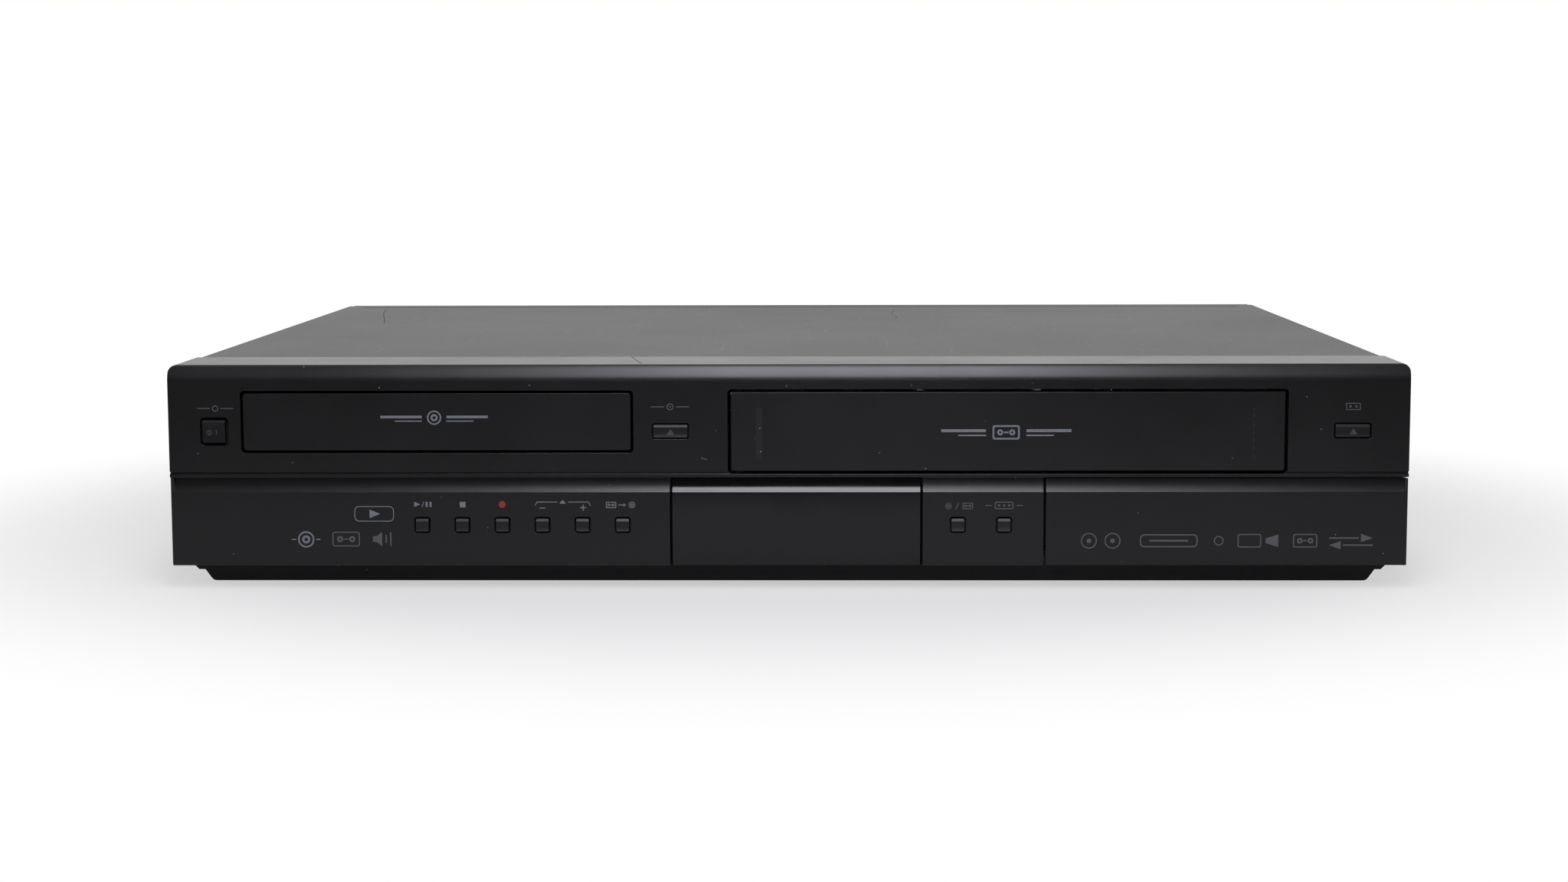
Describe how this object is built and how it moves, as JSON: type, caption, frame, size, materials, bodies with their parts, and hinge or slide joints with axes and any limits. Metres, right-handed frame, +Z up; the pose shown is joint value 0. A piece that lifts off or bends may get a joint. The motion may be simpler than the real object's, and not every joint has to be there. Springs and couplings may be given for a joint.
{
  "type": "dvd vcr combo player",
  "caption": "Slim disc and video cassette recorder: steel case, moulded front with disc tray, cassette flap, keys, display lens and flip-down input door.",
  "frame": {"origin": "middle of the footprint, on the surface that the feet stand on", "axes": "+X to the right seen from the front, +Y from front to back, +Z up"},
  "size_m": [0.43, 0.354, 0.0785],
  "materials": {
    "front_plastic": "fine satin black",
    "key_plastic": "satin dark grey",
    "lens_plastic": "smoked, polished",
    "cover_paint": "fine textured black paint",
    "pan_paint": "black paint",
    "black_screw": "black oxide",
    "foot_rubber": "matte",
    "inner_plastic": "moulded black",
    "gear_plastic": "natural acetal",
    "belt_rubber": "matte",
    "plated_steel": "zinc plated",
    "ground_steel": "ground and polished",
    "drum_alloy": "turned",
    "green_board": "lacquered board",
    "tan_board": "paper board",
    "tube_glass": "grey glass",
    "socket_plastic": "moulded black",
    "sled_alloy": "die cast"
  },
  "bodies": {
    "root": {"bottom_chassis": "pan_paint", "rubber_feet": "foot_rubber", "rear_panel": "pan_paint", "top_cover": "cover_paint", "case_screws": "black_screw", "front_fascia": "front_plastic", "display_lens": "lens_plastic", "display_tube": "tube_glass", "key_board": "green_board", "front_jack_board": "socket_plastic", "main_board": "green_board", "power_board": "tan_board", "mains_inlet": "socket_plastic", "tuner_block": "plated_steel", "rear_jack_block": "socket_plastic", "digital_socket": "plated_steel", "fan_frame": "inner_plastic", "drive_base": "inner_plastic", "drive_lid": "plated_steel", "drive_belt": "belt_rubber", "loading_motor": "plated_steel", "deck_plate": "plated_steel", "drum_base": "drum_alloy", "tape_heads": "ground_steel", "guide_posts": "ground_steel", "carriage_frames": "plated_steel"},
    "tray": {"disc_tray": "inner_plastic", "tray_front": "front_plastic"},
    "tray_gear": {"tray_gear": "gear_plastic"},
    "pulley_gear": {"pulley_gear": "gear_plastic"},
    "motor_pulley": {"motor_pulley": "ground_steel"},
    "traverse": {"traverse": "plated_steel", "guide_rods": "ground_steel", "spindle_motor": "plated_steel"},
    "turntable": {"turntable": "inner_plastic"},
    "sled": {"pickup_sled": "sled_alloy"},
    "clamp": {"disc_clamp": "inner_plastic"},
    "fan": {"fan_rotor": "inner_plastic"},
    "drum": {"head_drum": "drum_alloy"},
    "capstan": {"capstan": "ground_steel"},
    "pinch_arm": {"pinch_arm": "plated_steel"},
    "supply_reel": {"supply_reel": "inner_plastic"},
    "takeup_reel": {"takeup_reel": "inner_plastic"},
    "carriage": {"cassette_carriage": "plated_steel"},
    "flap": {"cassette_flap": "front_plastic"},
    "input_door": {"input_door": "front_plastic"},
    "power_button": {"power_button": "key_plastic"},
    "open_button": {"open_button": "key_plastic"},
    "eject_button": {"eject_button": "key_plastic"},
    "play_button": {"play_button": "key_plastic"},
    "stop_button": {"stop_button": "key_plastic"},
    "record_button": {"record_button": "key_plastic"},
    "channel_down_button": {"channel_down_button": "key_plastic"},
    "channel_up_button": {"channel_up_button": "key_plastic"},
    "dubbing_button": {"dubbing_button": "key_plastic"},
    "source_button": {"source_button": "key_plastic"},
    "output_button": {"output_button": "key_plastic"}
  },
  "joints": [
    {"name": "tray_slide", "type": "slide", "parent": "root", "child": "tray", "axis": [0, -1, 0], "range_m": [0, 0.13]},
    {"name": "tray_gear_turn", "type": "hinge", "parent": "root", "child": "tray_gear", "pos_m": [-0.16345, -0.139, 0.04], "axis": [0, 0, 1], "range_deg": [0, 746]},
    {"name": "pulley_gear_turn", "type": "hinge", "parent": "root", "child": "pulley_gear", "pos_m": [-0.13745, -0.139, 0.04], "axis": [0, 0, 1], "range_deg": [-2484, 0]},
    {"name": "motor_pulley_turn", "type": "hinge", "parent": "root", "child": "motor_pulley", "pos_m": [-0.10345, -0.139, 0.046], "axis": [0, 0, 1], "range_deg": [-9933, 0]},
    {"name": "traverse_lift", "type": "hinge", "parent": "root", "child": "traverse", "pos_m": [-0.12145, -0.001, 0.0395], "axis": [-1, 0, 0], "range_deg": [0, 6]},
    {"name": "turntable_spin", "type": "hinge", "parent": "traverse", "child": "turntable", "pos_m": [-0.12145, -0.092, 0.044], "axis": [0, 0, 1], "continuous": true},
    {"name": "sled_slide", "type": "slide", "parent": "traverse", "child": "sled", "axis": [0, 1, 0], "range_m": [0, 0.035]},
    {"name": "clamp_spin", "type": "hinge", "parent": "root", "child": "clamp", "pos_m": [-0.12145, -0.092, 0.072], "axis": [0, 0, 1], "continuous": true},
    {"name": "fan_spin", "type": "hinge", "parent": "root", "child": "fan", "pos_m": [-0.0541, 0.161, 0.05], "axis": [0, 1, 0], "continuous": true},
    {"name": "drum_spin", "type": "hinge", "parent": "root", "child": "drum", "pos_m": [0.0764, 0.037, 0.0296], "axis": [0, 0.1045, 0.9945], "continuous": true},
    {"name": "capstan_spin", "type": "hinge", "parent": "root", "child": "capstan", "pos_m": [0.1384, 0.013, 0.02], "axis": [0, 0, 1], "continuous": true},
    {"name": "pinch_swing", "type": "hinge", "parent": "root", "child": "pinch_arm", "pos_m": [0.1584, 0.027, 0.038], "axis": [0, 0, -1], "range_deg": [0, 12], "stiffness_Nm_per_rad": 0.05, "springref_deg": -2.86},
    {"name": "supply_reel_spin", "type": "hinge", "parent": "root", "child": "supply_reel", "pos_m": [0.0304, -0.063, 0.03], "axis": [0, 0, 1], "continuous": true},
    {"name": "takeup_reel_spin", "type": "hinge", "parent": "root", "child": "takeup_reel", "pos_m": [0.1224, -0.063, 0.03], "axis": [0, 0, 1], "continuous": true},
    {"name": "carriage_slide", "type": "slide", "parent": "root", "child": "carriage", "axis": [0, 1, 0], "range_m": [0, 0.04]},
    {"name": "flap_hinge", "type": "hinge", "parent": "root", "child": "flap", "pos_m": [0.0764, -0.1751, 0.0682], "axis": [1, 0, 0], "range_deg": [0, 88], "stiffness_Nm_per_rad": 0.02, "springref_deg": -5.73},
    {"name": "input_door_hinge", "type": "hinge", "parent": "root", "child": "input_door", "pos_m": [0.152, -0.1704, 0.0112], "axis": [1, 0, 0], "range_deg": [0, 92]},
    {"name": "power_button_press", "type": "slide", "parent": "root", "child": "power_button", "axis": [0, 1, 0], "range_m": [0, 0.0006], "stiffness_N_per_m": 800, "springref_m": -0.0003},
    {"name": "open_button_press", "type": "slide", "parent": "root", "child": "open_button", "axis": [0, 1, 0], "range_m": [0, 0.0006], "stiffness_N_per_m": 800, "springref_m": -0.0003},
    {"name": "eject_button_press", "type": "slide", "parent": "root", "child": "eject_button", "axis": [0, 1, 0], "range_m": [0, 0.0006], "stiffness_N_per_m": 800, "springref_m": -0.0003},
    {"name": "play_button_press", "type": "slide", "parent": "root", "child": "play_button", "axis": [0, 1, 0], "range_m": [0, 0.0006], "stiffness_N_per_m": 800, "springref_m": -0.0003},
    {"name": "stop_button_press", "type": "slide", "parent": "root", "child": "stop_button", "axis": [0, 1, 0], "range_m": [0, 0.0006], "stiffness_N_per_m": 800, "springref_m": -0.0003},
    {"name": "record_button_press", "type": "slide", "parent": "root", "child": "record_button", "axis": [0, 1, 0], "range_m": [0, 0.0006], "stiffness_N_per_m": 800, "springref_m": -0.0003},
    {"name": "channel_down_button_press", "type": "slide", "parent": "root", "child": "channel_down_button", "axis": [0, 1, 0], "range_m": [0, 0.0006], "stiffness_N_per_m": 800, "springref_m": -0.0003},
    {"name": "channel_up_button_press", "type": "slide", "parent": "root", "child": "channel_up_button", "axis": [0, 1, 0], "range_m": [0, 0.0006], "stiffness_N_per_m": 800, "springref_m": -0.0003},
    {"name": "dubbing_button_press", "type": "slide", "parent": "root", "child": "dubbing_button", "axis": [0, 1, 0], "range_m": [0, 0.0006], "stiffness_N_per_m": 800, "springref_m": -0.0003},
    {"name": "source_button_press", "type": "slide", "parent": "root", "child": "source_button", "axis": [0, 1, 0], "range_m": [0, 0.0006], "stiffness_N_per_m": 800, "springref_m": -0.0003},
    {"name": "output_button_press", "type": "slide", "parent": "root", "child": "output_button", "axis": [0, 1, 0], "range_m": [0, 0.0006], "stiffness_N_per_m": 800, "springref_m": -0.0003}
  ],
  "couplings": [
    {"joint": "tray_gear_turn", "follows": "tray_slide", "rad_per_m": 100},
    {"joint": "pulley_gear_turn", "follows": "tray_slide", "rad_per_m": -333.33},
    {"joint": "motor_pulley_turn", "follows": "tray_slide", "rad_per_m": -1333.3}
  ]
}
